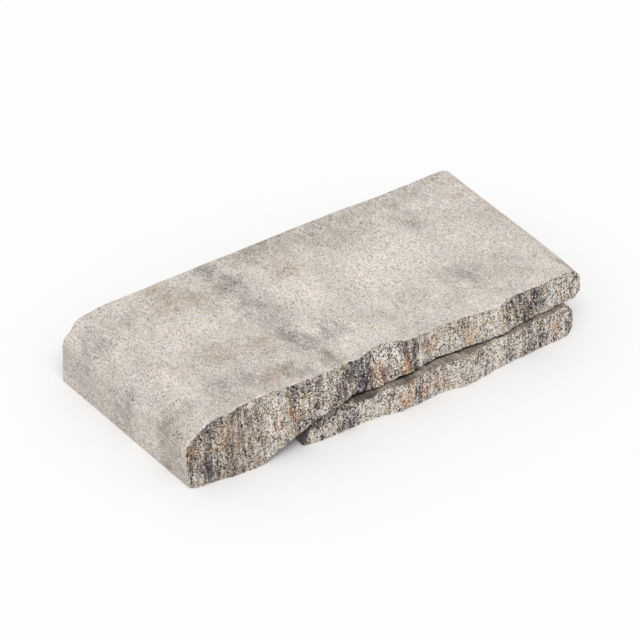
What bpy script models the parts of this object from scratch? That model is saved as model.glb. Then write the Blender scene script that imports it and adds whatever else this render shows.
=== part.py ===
# Garden wall block: one pressed concrete block with a split front face.
# A full-height foot stands at its left end. To the right of it an inclined false joint parts the front into
# an upper and a lower stone, so that one block looks like two thin slabs stacked on each other.
# X runs along the block, Y from the split front to the back, and Z up. The section is a mould outline in X
# and Z that runs through from front to back. Only the front face is broken.
import bmesh
import bpy
from mathutils import Vector, geometry, noise

# Overall size, in metres: the height is the two stones and the joint between them
LENGTH = 0.5045
DEPTH = 0.2365
UPPER_THICKNESS = 0.036
JOINT_GAP = 0.002
LOWER_THICKNESS = 0.038
HEIGHT = LOWER_THICKNESS + JOINT_GAP + UPPER_THICKNESS

# Left end, with its wide rounding, and foot
FOOT_LENGTH = 0.088
END_ROUND_LENGTH = 0.050
END_ROUND_DROP = 0.032

# Notch in the underside, between the foot and the lower stone, whose left end leans over
NOTCH_WIDTH = 0.050
LOWER_LEAN = 0.011
LOWER_START = FOOT_LENGTH + NOTCH_WIDTH
JOINT_START = LOWER_START + LOWER_LEAN

# False joint: a thin slot, open at the front and into the notches at its two ends
JOINT_DIP = 0.014
JOINT_CUT_DEPTH = 0.036
JOINT_EASE = 5

# Rounded right ends: the lower stone stands back, and both draw in towards the split face
LOWER_INSET = 0.0135
LOWER_END = LENGTH - LOWER_INSET
UPPER_NOSE_TOP_RADIUS = 0.018
UPPER_NOSE_BOTTOM_RADIUS = 0.011
LOWER_NOSE_TOP_RADIUS = 0.015
LOWER_NOSE_BOTTOM_RADIUS = 0.013
END_DRAW_IN = 0.0025
END_DRAW_DEPTH = 0.080
END_DRAW_LENGTH = 0.100

# Split front face: how far its edges stray from a straight line, and the facets between them
SPLIT_SWING = 0.010
FACET_RELIEF = 0.0011
FACET_SIZE = 0.022
FACET_OCTAVES = 3

# Back face: flat, but nearer to the front towards its right end
BACK_SWING = 0.003

# The edges of the split face and of the back, from left to right: each pair is a place as a share of the
# length, and how far forward the edge stands there as a share of the swing
UPPER_TOP_SHARES = (
    (0.00, -0.60), (0.05, -0.60), (0.075, -0.25), (0.10, -0.02), (0.125, -0.25), (0.15, -0.50), (0.19, -0.50),
    (0.23, -0.42), (0.265, -0.31), (0.32, -0.08), (0.375, -0.19), (0.425, -0.16), (0.465, -0.80),
    (0.49, -0.92), (0.51, -1.00), (0.525, -0.47), (0.54, 0.05), (0.56, 0.20), (0.615, 0.08), (0.665, 0.20),
    (0.715, 0.40), (0.74, 0.63), (0.765, 0.95), (0.78, 0.58), (0.80, 0.16), (0.85, 0.14), (0.895, 0.21),
    (0.95, 0.03), (1.00, -0.10),
)
UPPER_BOTTOM_SHARES = (
    (0.00, 0.00), (0.03, 0.24), (0.055, 0.41), (0.095, 0.73), (0.135, 0.88), (0.175, 0.95), (0.25, 0.90),
    (0.30, 0.76), (0.345, 0.49), (0.37, 0.48), (0.395, 0.22), (0.42, 0.14), (0.445, 0.56), (0.465, 0.76),
    (0.495, 0.63), (0.53, 0.75), (0.555, 0.73), (0.585, 0.50), (0.615, 0.26), (0.66, 0.58), (0.705, 0.69),
    (0.765, 0.98), (0.80, 0.91), (0.83, 0.58), (0.86, 0.39), (0.895, 0.21), (0.95, 0.05), (1.00, 0.00),
)
LOWER_TOP_SHARES = (
    (0.27, 0.70), (0.30, 0.78), (0.315, 0.88), (0.335, 1.15), (0.37, 1.30), (0.41, 1.32), (0.435, 1.64),
    (0.455, 1.40), (0.475, 1.39), (0.51, 1.92), (0.535, 1.88), (0.56, 1.64), (0.615, 1.52), (0.66, 1.97),
    (0.69, 1.68), (0.72, 1.36), (0.755, 1.08), (0.775, 1.38), (0.80, 1.38), (0.83, 1.15), (0.86, 0.86),
    (0.88, 0.70), (0.905, 0.86), (0.94, 0.45), (0.98, 0.30),
)
LOWER_BOTTOM_SHARES = (
    (0.27, 0.65), (0.295, 0.76), (0.325, 0.91), (0.39, 0.89), (0.43, 0.81), (0.47, 1.09), (0.51, 1.47),
    (0.54, 1.51), (0.57, 1.44), (0.625, 1.28), (0.65, 1.50), (0.67, 1.86), (0.695, 1.75), (0.725, 1.49),
    (0.76, 1.30), (0.79, 1.09), (0.84, 1.03), (0.895, 0.87), (0.95, 0.72), (0.98, 0.55),
)
BACK_SHARES = ((0.00, 0.00), (0.70, 0.00), (0.78, 0.80), (0.84, 1.00), (1.00, 1.00))

# Handles of the two free curves, as shares of their length and height
END_ROUND_SHARES = ((0.36, 0.09), (0.04, 0.56))
FLANK_SHARES = ((0.20, 0.41), (0.62, 0.68))
CIRCLE_HANDLE_SHARE = 0.4477

# How finely the curves and the broken faces are divided
CURVE_STEPS = 12
ARC_STEPS = 8
JOINT_STEPS = 24
DRAW_STEPS = 4
FACE_COLUMNS = 120
UPPER_ROWS = 12
LOWER_ROWS = 6
BACK_COLUMNS = 40

# How far cutters and fills run past what they cut or join
OVERRUN = 0.004
WEB_OVERLAP = 0.001

CONCRETE_COLOUR = (0.52, 0.47, 0.42, 1.0)
CONCRETE_ROUGHNESS = 0.92
SHARP_ANGLE = 0.5


def clear_scene():
    for old in list(bpy.context.scene.objects):
        bpy.data.objects.remove(old, do_unlink=True)


def concrete():
    material = bpy.data.materials.new("concrete")
    material.use_nodes = True
    shader = material.node_tree.nodes["Principled BSDF"]
    shader.inputs["Base Color"].default_value = CONCRETE_COLOUR
    shader.inputs["Roughness"].default_value = CONCRETE_ROUGHNESS
    shader.inputs["Metallic"].default_value = 0.0
    return material


# Outlines, as lists of (x, z) points

def curve(points, steps):
    """Bezier curve through the first and last of four (x, z) points."""
    corners = [Vector((x, z, 0.0)) for x, z in points]
    return [(point.x, point.y) for point in geometry.interpolate_bezier(*corners, steps)]


def corner_arc(corner, before, after):
    """Rounds a square corner: before and after are the offsets from the corner to the arc's two ends."""
    reaches = (
        (before, 1.0), (before, CIRCLE_HANDLE_SHARE), (after, CIRCLE_HANDLE_SHARE), (after, 1.0),
    )
    return curve([(corner[0] + x * reach, corner[1] + z * reach) for (x, z), reach in reaches], ARC_STEPS)


def joint_height(x):
    """Height of the lower stone's top, which climbs fast beside the foot and then levels out."""
    run_share = min(max((x - JOINT_START) / (LENGTH - JOINT_START), 0.0), 1.0)
    return LOWER_THICKNESS - JOINT_DIP * (1.0 - run_share) ** JOINT_EASE


def along_joint(start, end, lift):
    """Points on the joint line between two places, raised by lift."""
    places = [start + (end - start) * step / JOINT_STEPS for step in range(JOINT_STEPS + 1)]
    return [(x, joint_height(x) + lift) for x in places]


def foot_flank():
    """The foot's right side, from its underside up to where the joint starts."""
    run = JOINT_START - FOOT_LENGTH
    rise = joint_height(JOINT_START) + JOINT_GAP
    handles = [(FOOT_LENGTH + run * x_share, rise * z_share) for x_share, z_share in FLANK_SHARES]
    return curve([(FOOT_LENGTH, 0.0)] + handles + [(JOINT_START, rise)], CURVE_STEPS)


def end_round():
    """The left end's rounding, from the top down to the plumb part of the end."""
    handles = [
        (END_ROUND_LENGTH * x_share, HEIGHT - END_ROUND_DROP * drop_share)
        for x_share, drop_share in END_ROUND_SHARES
    ]
    return curve([(END_ROUND_LENGTH, HEIGHT)] + handles + [(0.0, HEIGHT - END_ROUND_DROP)], CURVE_STEPS)


def upper_outline():
    underside = along_joint(JOINT_START, LENGTH - UPPER_NOSE_BOTTOM_RADIUS, JOINT_GAP)
    nose_bottom = underside[-1][1]
    bottom_arc = corner_arc(
        (LENGTH, nose_bottom), (-UPPER_NOSE_BOTTOM_RADIUS, 0.0), (0.0, UPPER_NOSE_BOTTOM_RADIUS)
    )
    top_arc = corner_arc((LENGTH, HEIGHT), (0.0, -UPPER_NOSE_TOP_RADIUS), (-UPPER_NOSE_TOP_RADIUS, 0.0))
    return [(0.0, 0.0)] + foot_flank() + underside[1:-1] + bottom_arc + top_arc + end_round()


def lower_outline():
    top = along_joint(JOINT_START, LOWER_END - LOWER_NOSE_TOP_RADIUS, 0.0)
    nose_top = top[-1][1]
    bottom_arc = corner_arc(
        (LOWER_END, 0.0), (-LOWER_NOSE_BOTTOM_RADIUS, 0.0), (0.0, LOWER_NOSE_BOTTOM_RADIUS)
    )
    top_arc = corner_arc(
        (LOWER_END, nose_top), (0.0, -LOWER_NOSE_TOP_RADIUS), (-LOWER_NOSE_TOP_RADIUS, 0.0)
    )
    return [(LOWER_START, 0.0)] + bottom_arc + top_arc + top[-2::-1]


def web_outline():
    """The concrete that fills the joint behind the slot and makes the two stones one block."""
    start = JOINT_START + WEB_OVERLAP
    end = LOWER_END - LOWER_NOSE_TOP_RADIUS
    bottom = along_joint(start, end, -WEB_OVERLAP)
    top = along_joint(start, end, JOINT_GAP + WEB_OVERLAP)
    return bottom + top[::-1]


# Broken faces

def read_shares(shares, place):
    """Smooth curve through a list of (place, value) shares."""
    if place <= shares[0][0]:
        return shares[0][1]
    if place >= shares[-1][0]:
        return shares[-1][1]
    right = next(index for index, pair in enumerate(shares) if pair[0] > place)
    before, start, end, after = (
        shares[min(max(index, 0), len(shares) - 1)] for index in range(right - 2, right + 2)
    )
    span = end[0] - start[0]
    part_way = (place - start[0]) / span
    start_slope = (end[1] - before[1]) / (end[0] - before[0]) * span
    end_slope = (after[1] - start[1]) / (after[0] - start[0]) * span
    rest = 1.0 - part_way
    return (
        start[1] * rest * rest * (1.0 + 2.0 * part_way)
        + end[1] * part_way * part_way * (3.0 - 2.0 * part_way)
        + start_slope * part_way * rest * rest
        - end_slope * part_way * part_way * rest
    )


def split_place(x, z, low, high, low_shares, high_shares):
    """How far back a stone's split face lies at x and z, between its edges at the heights low and high."""
    up_share = min(max((z - low) / (high - low), 0.0), 1.0)
    low_forward = read_shares(low_shares, x / LENGTH)
    high_forward = read_shares(high_shares, x / LENGTH)
    forward = low_forward + (high_forward - low_forward) * up_share
    facets = noise.fractal(Vector((x, 0.0, z)) / FACET_SIZE, 1.0, 2.0, FACET_OCTAVES)
    return -SPLIT_SWING * forward - FACET_RELIEF * facets


def upper_underside(x):
    """Height of the upper stone's lower edge: zero at the foot, then up the flank and along the joint."""
    rise_share = min(max((x - FOOT_LENGTH) / (JOINT_START - FOOT_LENGTH), 0.0), 1.0)
    return (joint_height(x) + JOINT_GAP) * rise_share


def upper_place(x, z):
    return split_place(x, z, upper_underside(x), HEIGHT, UPPER_BOTTOM_SHARES, UPPER_TOP_SHARES)


def lower_place(x, z):
    return split_place(x, z, 0.0, joint_height(x), LOWER_BOTTOM_SHARES, LOWER_TOP_SHARES)


def back_place(x, z):
    return DEPTH - BACK_SWING * read_shares(BACK_SHARES, x / LENGTH)


def front_plane():
    """A plane in front of all of the split face, where the unbroken stones start."""
    edges = UPPER_TOP_SHARES + UPPER_BOTTOM_SHARES + LOWER_TOP_SHARES + LOWER_BOTTOM_SHARES
    furthest_share = max(forward for place, forward in edges)
    return -SPLIT_SWING * furthest_share - FACET_RELIEF - OVERRUN


# Solids

def mesh_object(name, shape):
    bmesh.ops.recalc_face_normals(shape, faces=shape.faces)
    mesh = bpy.data.meshes.new(name)
    shape.to_mesh(mesh)
    shape.free()
    made = bpy.data.objects.new(name, mesh)
    bpy.context.scene.collection.objects.link(made)
    return made


def drawn_in(x, y):
    """The right ends draw in over the last stretch before the split face."""
    along_share = min(max((x - LENGTH + END_DRAW_LENGTH) / END_DRAW_LENGTH, 0.0), 1.0)
    near_share = min(max(1.0 - y / END_DRAW_DEPTH, 0.0), 1.0)
    return x - END_DRAW_IN * along_share * near_share * near_share


def stone_from(name, outline, front, back):
    """Solid with the given outline, lofted from the front plane to the back plane."""
    shape = bmesh.new()
    draw_places = [END_DRAW_DEPTH * step / DRAW_STEPS for step in range(DRAW_STEPS + 1)]
    sections = []
    for y in [front] + [place for place in draw_places if front < place < back] + [back]:
        sections.append([shape.verts.new((drawn_in(x, y), y, z)) for x, z in outline])
    shape.faces.new(sections[0])
    shape.faces.new(sections[-1][::-1])
    for near, far in zip(sections, sections[1:]):
        for index, corner in enumerate(near):
            shape.faces.new((near[index - 1], corner, far[index], far[index - 1]))
    return mesh_object(name, shape)


def face_cutter(name, x_range, z_range, columns, rows, place, away):
    """Everything beyond a broken face: its surface over the given ranges, drawn out to the plane away."""
    shape = bmesh.new()
    (left, right), (bottom, top) = x_range, z_range
    grid = []
    for row in range(rows + 1):
        z = bottom + (top - bottom) * row / rows
        places = [left + (right - left) * column / columns for column in range(columns + 1)]
        grid.append([shape.verts.new((x, place(x, z), z)) for x in places])
    faces = []
    for low, high in zip(grid, grid[1:]):
        for column in range(columns):
            faces.append(shape.faces.new((low[column], low[column + 1], high[column + 1], high[column])))
    drawn_out = bmesh.ops.extrude_face_region(shape, geom=faces)
    for corner in drawn_out["geom"]:
        if isinstance(corner, bmesh.types.BMVert):
            corner.co.y = away
    cutter = mesh_object(name, shape)
    cutter.hide_render = True
    cutter.display_type = "WIRE"
    return cutter


def apply_boolean(target, other, operation):
    """Cuts the other solid from the target, or joins it on, and removes it."""
    modifier = target.modifiers.new(operation.lower(), "BOOLEAN")
    modifier.operation = operation
    modifier.solver = "EXACT"
    modifier.object = other
    evaluated = target.evaluated_get(bpy.context.evaluated_depsgraph_get())
    target.data = bpy.data.meshes.new_from_object(evaluated)
    target.modifiers.remove(modifier)
    bpy.data.objects.remove(other, do_unlink=True)


def upper_stone():
    stone = stone_from("upper_stone", upper_outline(), front_plane(), DEPTH + OVERRUN)
    split = face_cutter(
        "upper_split", (-OVERRUN, LENGTH + OVERRUN), (-OVERRUN, HEIGHT + OVERRUN),
        FACE_COLUMNS, UPPER_ROWS, upper_place, front_plane() - OVERRUN,
    )
    apply_boolean(stone, split, "DIFFERENCE")
    return stone


def lower_stone():
    stone = stone_from("lower_stone", lower_outline(), front_plane(), DEPTH + OVERRUN)
    split = face_cutter(
        "lower_split", (LOWER_START - OVERRUN, LOWER_END + OVERRUN), (-OVERRUN, LOWER_THICKNESS + OVERRUN),
        FACE_COLUMNS, LOWER_ROWS, lower_place, front_plane() - OVERRUN,
    )
    apply_boolean(stone, split, "DIFFERENCE")
    return stone


def wall_block():
    """The two stones, joined by the web behind the joint, with one back face."""
    block = upper_stone()
    apply_boolean(block, lower_stone(), "UNION")
    apply_boolean(block, stone_from("web", web_outline(), JOINT_CUT_DEPTH, DEPTH + OVERRUN), "UNION")
    beyond_back = face_cutter(
        "beyond_back", (-OVERRUN, LENGTH + OVERRUN), (-OVERRUN, HEIGHT + OVERRUN),
        BACK_COLUMNS, 1, back_place, DEPTH + OVERRUN + OVERRUN,
    )
    apply_boolean(block, beyond_back, "DIFFERENCE")
    block.name = "wall_block"
    block.data.name = "wall_block"
    return block


def centre_on_underside(block):
    """Moves the mesh so that the origin is under the middle of the block's box."""
    xs = [corner.co.x for corner in block.data.vertices]
    ys = [corner.co.y for corner in block.data.vertices]
    middle = Vector(((min(xs) + max(xs)) / 2, (min(ys) + max(ys)) / 2, 0.0))
    for corner in block.data.vertices:
        corner.co -= middle


def main():
    clear_scene()
    block = wall_block()
    centre_on_underside(block)
    block.data.materials.clear()
    block.data.materials.append(concrete())
    block.data.set_sharp_from_angle(angle=SHARP_ANGLE)


main()
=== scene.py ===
import math

import bpy
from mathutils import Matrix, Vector, geometry, noise
from mathutils.bvhtree import BVHTree


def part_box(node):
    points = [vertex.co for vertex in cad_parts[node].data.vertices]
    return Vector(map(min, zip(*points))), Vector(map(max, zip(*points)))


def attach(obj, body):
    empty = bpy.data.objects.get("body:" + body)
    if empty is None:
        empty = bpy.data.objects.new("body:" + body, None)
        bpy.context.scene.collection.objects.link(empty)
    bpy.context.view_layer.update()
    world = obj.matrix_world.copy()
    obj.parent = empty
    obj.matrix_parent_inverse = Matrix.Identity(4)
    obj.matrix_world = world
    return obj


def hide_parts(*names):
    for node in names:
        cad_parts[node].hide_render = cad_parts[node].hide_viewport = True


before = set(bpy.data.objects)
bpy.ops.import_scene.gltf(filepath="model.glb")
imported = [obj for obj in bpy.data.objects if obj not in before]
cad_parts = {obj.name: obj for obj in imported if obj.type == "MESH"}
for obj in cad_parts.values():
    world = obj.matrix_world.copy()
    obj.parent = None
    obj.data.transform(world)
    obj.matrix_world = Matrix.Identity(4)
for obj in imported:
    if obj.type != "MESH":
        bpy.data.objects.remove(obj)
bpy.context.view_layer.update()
LOW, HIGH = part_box("wall_block")

# Sizes of the block's outline, in metres
LENGTH = HIGH.x - LOW.x
HEIGHT = HIGH.z - LOW.z
DEPTH = 0.2365
JOINT_GAP = 0.0014
LOWER_THICKNESS = 0.038
FOOT_LENGTH = 0.088
END_ROUND_LENGTH = 0.050
END_ROUND_DROP = 0.032
LOWER_START = FOOT_LENGTH + 0.050
LOWER_LEAN = 0.011
JOINT_START = LOWER_START + LOWER_LEAN
JOINT_DIP = 0.014
JOINT_CUT_DEPTH = 0.036
JOINT_EASE = 5
LOWER_END = LENGTH - 0.0135
UPPER_NOSE_TOP_RADIUS = 0.018
UPPER_NOSE_BOTTOM_RADIUS = 0.011
LOWER_NOSE_TOP_RADIUS = 0.015
LOWER_NOSE_BOTTOM_RADIUS = 0.013
WEB_END = LOWER_END - LOWER_NOSE_TOP_RADIUS
END_DRAW_IN = 0.0025
END_DRAW_DEPTH = 0.080
END_DRAW_LENGTH = 0.100
END_ROUND_SHARES = ((0.36, 0.09), (0.04, 0.56))
FLANK_SHARES = ((0.20, 0.41), (0.62, 0.68))

# How finely the block is divided. Every number of columns and rows is even, so that behind the
# joint every second place can be left out.
ROUND_COLUMNS = 68
FOOT_COLUMNS = 28
FLANK_COLUMNS = 44
JOINT_COLUMNS = 250
NOSE_COLUMNS = 24
NOSE_FLAT_COLUMNS = 8
LEAN_FADE_LENGTH = 0.066
UPPER_ROWS = 34
LOWER_ROWS = 26
FRONT_STATION_SHARES = (
    0.018, 0.04, 0.07, 0.105, 0.15, 0.205, 0.27, 0.35, 0.44, 0.54, 0.65, 0.76, 0.88, 1.0,
)
REAR_STATIONS = 54
BACK_ARRIS = 0.0008
BACK_ARRIS_INSET = 0.0005
BACK_SPACING = 0.005
BACK_MARGIN = 0.0022
FILL_INSIDE, FILL_PRECISION = 1, 1e-7
SHARP_ANGLE = 55

# Rays onto the solid keep this far inside its outline
RAY_MARGIN = 0.0011

# Relief of the broken face: what stands out and how far, from the coarsest to the finest
LUMP_SIZE, LUMP_DEPTH = 0.011, 0.0009
FLUTE_WIDTH, FLUTE_HEIGHT, FLUTE_DEPTH = 0.0048, 0.030, 0.0006
GRAIN_SIZE, GRAIN_DEPTH = 0.0030, 0.00025
CHIP_SIZE, CHIP_DEPTH, CHIP_REACH = 0.0045, 0.0024, 0.0040
# Small chips are so much weaker and so many times smaller. All chips fade by this power.
SMALL_CHIP_SHARE, SMALL_CHIP_SHRINK, CHIP_POWER = 0.6, 3.1, 1.5
# Where each noise is cut, so that no two patterns are alike
FLUTE_SLICE, BACK_SLICE, CHIP_SLICE, SMALL_CHIP_SLICE = 5.0, 7.0, 0.3, 0.9
COARSE_OCTAVES, SWELL_OCTAVES = 2, 3
# The left edge of the foot's broken face is hollow. The hollow deepens over a share of the height,
# and would end at so many times that height.
HOLLOW_DEPTH, HOLLOW_REACH = 0.0042, 0.020
HOLLOW_HEIGHT_SHARE, HOLLOW_END = 0.42, 3.0
# The foot's lowest corner is worn off
CORNER_WEAR, CORNER_REACH = 0.0022, 0.007
# The rounded end's arris has broken away in one long bite, around this place
BITE_X, BITE_Z = 0.013, 0.064
BITE_DEPTH, BITE_REACH, BITE_FADE = 0.0028, 0.024, 0.008
# Painted shade with dirt: the ledge in front of the joint darkens over this last stretch before the
# upper stone
SHELTER_REACH = 0.006
# Relief of the moulded faces
SWELL_SIZE, SWELL_DEPTH = 0.045, 0.00035
PIT_SIZE, PIT_DEPTH, PIT_LIMIT = 0.006, 0.00022, 0.25
# The back's edge wanders. On the rounded left end it also has a nick and then a fuller stretch,
# given as (place along the block, rise above the solid), which fade out over this reach in front.
BACK_WAVE_SIZE, BACK_WAVE_DEPTH = 0.035, 0.0012
BACK_CORNER_RISES = (
    (0.0030, 0.0), (0.0070, -0.0024), (0.0105, -0.0036), (0.0120, -0.0016), (0.0135, 0.0006),
    (0.0165, 0.0024), (0.0205, 0.0027), (0.0245, 0.0021), (0.0290, 0.0013), (0.0360, 0.0),
)
BACK_CORNER_REACH = 0.022

# Camera of the photograph: degrees, and metres from the place it aims at, in the frame
CAMERA_AZIMUTH = -35.53
CAMERA_ELEVATION = 35.22
CAMERA_LENS = 393.75
CAMERA_DISTANCE = 7.3744
CAMERA_AIM = (0.00025, 0.01073, 0.038)
CAMERA_PAN = (-0.00341, 0.00255)

# Light: an even room and one soft lamp from the front left, so many degrees wide
WORLD_STRENGTH = 0.72
KEY_STRENGTH = 1.0
KEY_SOFTNESS = 35.0
KEY_DIRECTION = (-0.24, -0.48, 0.84)
WHITE = (1.0, 1.0, 1.0)
FLOOR_BOUNCE = (0.80, 0.80, 0.80)
FLOOR_REACH = 8.0
FLOOR_DROP = 0.0003

# How deep the finest relief is, in metres
SPLIT_BUMP = 0.0004
MOULDED_BUMP = 0.00035


# Outline of the block, as (x, z) places

def span(start, end, steps):
    return [start + (end - start) * step / steps for step in range(steps + 1)]


def curve(points, steps):
    """Bezier curve through the first and last of four (x, z) points."""
    corners = [Vector((x, z, 0.0)) for x, z in points]
    return [(point.x, point.y) for point in geometry.interpolate_bezier(*corners, steps + 1)]


def joint_height(x):
    """Height of the lower stone's top, which climbs fast beside the foot and then levels out."""
    run_share = min(max((x - JOINT_START) / (LENGTH - JOINT_START), 0.0), 1.0)
    return LOWER_THICKNESS - JOINT_DIP * (1.0 - run_share) ** JOINT_EASE


def arc_drop(x, end, radius):
    """How far a quarter round, which ends plumb at the place end, has fallen away at x."""
    reach = max(x - end + radius, 0.0)
    return radius - math.sqrt(max(radius * radius - reach * reach, 0.0))


def nose_places(end, radius, steps):
    """Places from the start of a quarter round to its end, evenly spaced along its arc."""
    return [end - radius + radius * math.sin(angle) for angle in span(0.0, math.pi / 2, steps)]


def foot_columns():
    """The foot's columns as (lower place, upper place), from the left end to the joint's start."""
    handles = [
        (END_ROUND_LENGTH * x_share, HEIGHT - END_ROUND_DROP * z_share)
        for x_share, z_share in END_ROUND_SHARES[::-1]
    ]
    ends = (0.0, HEIGHT - END_ROUND_DROP), (END_ROUND_LENGTH, HEIGHT)
    end_round = curve([ends[0]] + handles + [ends[1]], ROUND_COLUMNS)
    run = JOINT_START - FOOT_LENGTH
    rise = joint_height(JOINT_START) + JOINT_GAP
    handles = [(FOOT_LENGTH + run * x_share, rise * z_share) for x_share, z_share in FLANK_SHARES]
    flank = curve([(FOOT_LENGTH, 0.0)] + handles + [(JOINT_START, rise)], FLANK_COLUMNS)
    lows = [(x, 0.0) for x in span(0.0, END_ROUND_LENGTH, ROUND_COLUMNS)]
    columns = list(zip(lows, end_round))
    for x in span(END_ROUND_LENGTH, FOOT_LENGTH, FOOT_COLUMNS)[1:]:
        columns.append(((x, 0.0), (x, HEIGHT)))
    return columns + [(low, (low[0], HEIGHT)) for low in flank[1:]]


def upper_columns():
    places = span(JOINT_START, WEB_END, JOINT_COLUMNS)[1:]
    places += span(WEB_END, LENGTH - UPPER_NOSE_TOP_RADIUS, NOSE_FLAT_COLUMNS)[1:]
    places += nose_places(LENGTH, UPPER_NOSE_TOP_RADIUS, NOSE_COLUMNS)[1:]
    columns = foot_columns()
    for x in places:
        low = joint_height(x) + JOINT_GAP + arc_drop(x, LENGTH, UPPER_NOSE_BOTTOM_RADIUS)
        columns.append(((x, low), (x, HEIGHT - arc_drop(x, LENGTH, UPPER_NOSE_TOP_RADIUS))))
    return columns


def lower_columns():
    """The same for the lower stone, whose left end leans over."""
    places = span(JOINT_START, WEB_END, JOINT_COLUMNS)
    places += nose_places(LOWER_END, LOWER_NOSE_TOP_RADIUS, NOSE_COLUMNS)[1:]
    columns = []
    for x in places:
        lean = LOWER_LEAN * max(1.0 - (x - JOINT_START) / LEAN_FADE_LENGTH, 0.0)
        high = joint_height(x) - arc_drop(x, LOWER_END, LOWER_NOSE_TOP_RADIUS)
        columns.append(((x - lean, arc_drop(x, LOWER_END, LOWER_NOSE_BOTTOM_RADIUS)), (x, high)))
    return columns


def drawn_in(x, y):
    """The right ends draw in over the last stretch before the split face."""
    along_share = min(max((x - LENGTH + END_DRAW_LENGTH) / END_DRAW_LENGTH, 0.0), 1.0)
    near_share = min(max(1.0 - y / END_DRAW_DEPTH, 0.0), 1.0)
    return x - END_DRAW_IN * along_share * near_share * near_share


# Places on the frame's solid

class Solid:
    """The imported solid, asked for the depth of its front and back."""

    def __init__(self, node):
        self.tree = BVHTree.FromObject(node, bpy.context.evaluated_depsgraph_get())
        self.shift = Vector((LOW.x, HIGH.y - DEPTH, LOW.z))

    def depth(self, x, z, heading):
        """The block's own y where a ray along +Y or -Y first meets the solid at x and z."""
        start = Vector((x, 0.0 if heading > 0 else DEPTH, z)) + self.shift
        start.y -= heading * (HIGH.y - LOW.y)
        hit = self.tree.ray_cast(start, Vector((0.0, heading, 0.0)))[0]
        if hit is None:
            hit = self.tree.find_nearest(start)[0]
        return hit.y - self.shift.y


def clamp(value, lowest, highest):
    return min(max(value, lowest), highest)


def fading(distance, reach):
    """1 at no distance, 0 from the reach on."""
    return max(1.0 - distance / reach, 0.0)


# Relief

def rolling(place, octaves):
    """Noise of several sizes, each half as wide and half as strong as the one before."""
    return noise.fractal(place, 1.0, 2.0, octaves)


def split_relief(x, z):
    """How far the broken face stands behind the solid's, at a place of its own."""
    place = Vector((x, 0.0, z))
    lumps = rolling(place / LUMP_SIZE, COARSE_OCTAVES)
    flutes = rolling(Vector((x / FLUTE_WIDTH, FLUTE_SLICE, z / FLUTE_HEIGHT)), COARSE_OCTAVES)
    near, far = noise.voronoi(place / GRAIN_SIZE)[0][:2]
    grains = 1.0 - min(far - near, 1.0) * 2.0
    return LUMP_DEPTH * lumps + FLUTE_DEPTH * flutes + GRAIN_DEPTH * grains


def hollow(x, z):
    """How far the foot's broken face lies further back near its left edge."""
    across = fading(x, HOLLOW_REACH)
    up = z / HEIGHT / HOLLOW_HEIGHT_SHARE
    swing = math.sin(math.pi / 2 * clamp(min(up, HOLLOW_END - up), 0.0, 1.0))
    return HOLLOW_DEPTH * across * across * swing


def chip_drop(x, z, behind):
    """How far the arris has broken away, at a distance behind the split face."""
    chip = noise.noise(Vector((x, CHIP_SLICE, z)) / CHIP_SIZE)
    small = noise.noise(Vector((x, SMALL_CHIP_SLICE, z)) / CHIP_SIZE * SMALL_CHIP_SHRINK)
    chip = clamp(chip + SMALL_CHIP_SHARE * small, 0.0, 1.0)
    chip = CHIP_DEPTH * chip * fading(behind, CHIP_REACH) ** CHIP_POWER
    corner = CORNER_WEAR * fading(x + z, CORNER_REACH) * fading(behind, CORNER_REACH)
    away = math.hypot(x - BITE_X, z - BITE_Z) / BITE_REACH
    bite = BITE_DEPTH * max(1.0 - away * away, 0.0) * fading(behind, BITE_FADE) ** CHIP_POWER
    return chip + corner + bite


def back_corner_rise(x, y, z):
    """How far the rounded left end stands above the solid's, near the back."""
    if z < HEIGHT - END_ROUND_DROP:
        return 0.0
    fade = fading(max(DEPTH - y, 0.0), BACK_CORNER_REACH) ** 2
    for (before, low), (after, high) in zip(BACK_CORNER_RISES, BACK_CORNER_RISES[1:]):
        if before <= x < after:
            return fade * (low + (high - low) * (x - before) / (after - before))
    return 0.0


def moulded_relief(x, y, z):
    """How far a moulded face has sunk below the solid's: long swells and small pits."""
    place = Vector((x, y, z))
    swell = 0.5 + 0.5 * rolling(place / SWELL_SIZE, SWELL_OCTAVES)
    pits = max(noise.noise(place / PIT_SIZE) - PIT_LIMIT, 0.0)
    return SWELL_DEPTH * clamp(swell, 0.0, 1.0) + PIT_DEPTH * pits


# The mesh

def between(low, high, share):
    """The place a share of the way from one (x, z) place to another."""
    return low[0] + (high[0] - low[0]) * share, low[1] + (high[1] - low[1]) * share


class Stone:
    """One of the two stones that the front shows: its grid, and its rim with the outward ways."""

    def __init__(self, columns, rows):
        self.rows, self.columns = rows, len(columns) - 1
        self.grid = [
            [between(low, high, share) for low, high in columns] for share in span(0.0, 1.0, rows)
        ]
        self.rim = [(0, column) for column in range(self.columns)]
        self.rim += [(row, self.columns) for row in range(rows)]
        self.rim += [(rows, column) for column in range(self.columns, 0, -1)]
        self.rim += [(row, 0) for row in range(rows, 0, -1)]
        places = [Vector(self.at(key)) for key in self.rim]
        pairs = zip(places, places[1:] + places[:1])
        ways = [(after - before).normalized() for before, after in pairs]
        self.outward = {}
        for index, key in enumerate(self.rim):
            way = (ways[index - 1] + ways[index]).normalized()
            self.outward[key] = Vector((way.y, 0.0, -way.x))

    def at(self, key):
        return self.grid[key[0]][key[1]]


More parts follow.
